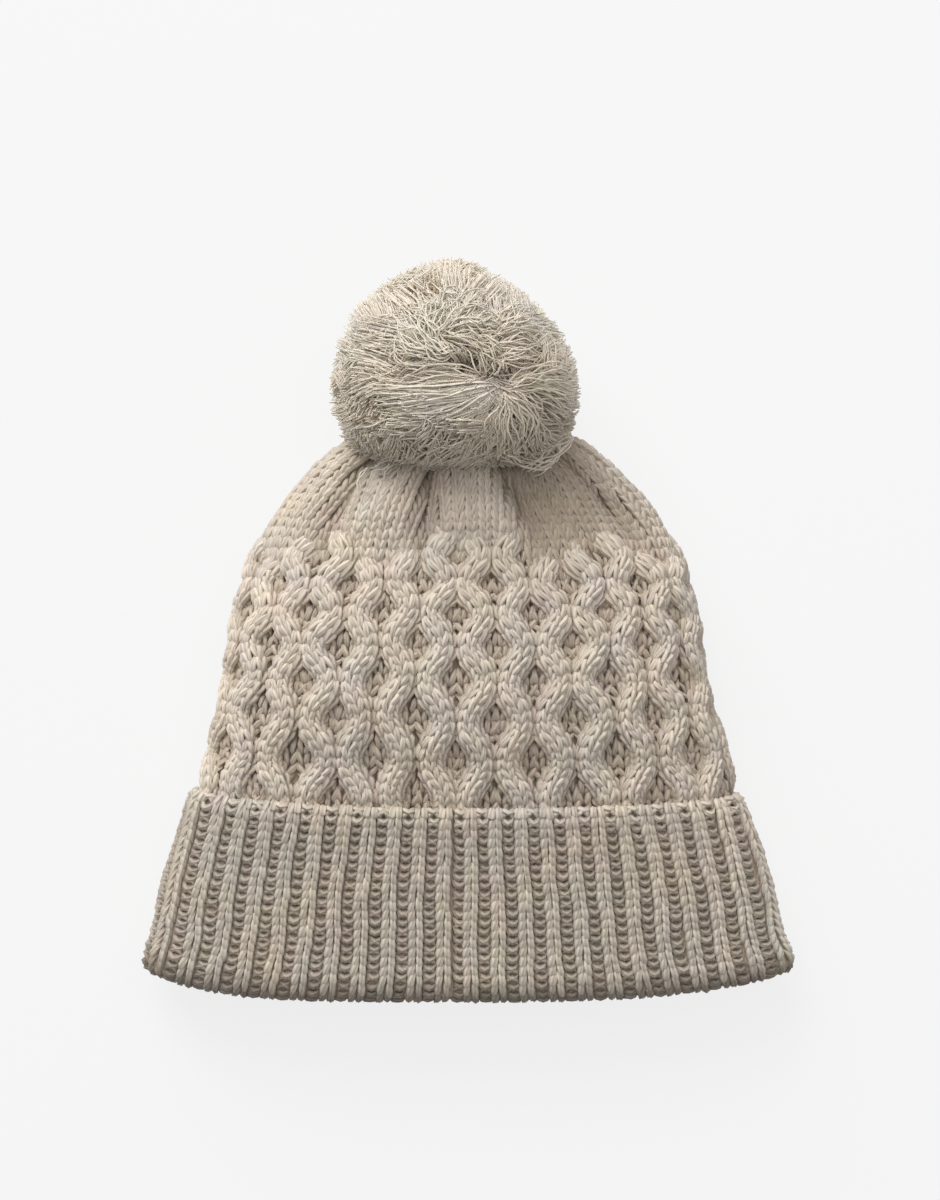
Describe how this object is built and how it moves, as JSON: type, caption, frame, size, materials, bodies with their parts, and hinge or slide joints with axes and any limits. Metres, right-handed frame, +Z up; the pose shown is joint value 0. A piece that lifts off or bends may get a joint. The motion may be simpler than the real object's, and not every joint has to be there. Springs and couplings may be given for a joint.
{
  "type": "cable-knit pompom beanie",
  "caption": "Hollow knitted beanie lying on its back: cabled crown gathered at the top, ribbed turned-up cuff open at the mouth, and a yarn pompom.",
  "frame": {"origin": "on the surface that the hat lies on, under the middle of its whole footprint", "axes": "+Y from the hem to the pompom, +X to the right seen from above, +Z up from the surface to the front of the hat"},
  "size_m": [0.2468, 0.2814, 0.0939],
  "materials": {
    "cable_knit": "matte chunky wool-blend cable knit",
    "rib_knit": "matte chunky wool-blend rib knit",
    "pompom_yarn": "matte loose cut yarn"
  },
  "bodies": {
    "root": {"crown": "cable_knit", "cuff": "rib_knit", "pompom": "pompom_yarn"}
  },
  "joints": []
}
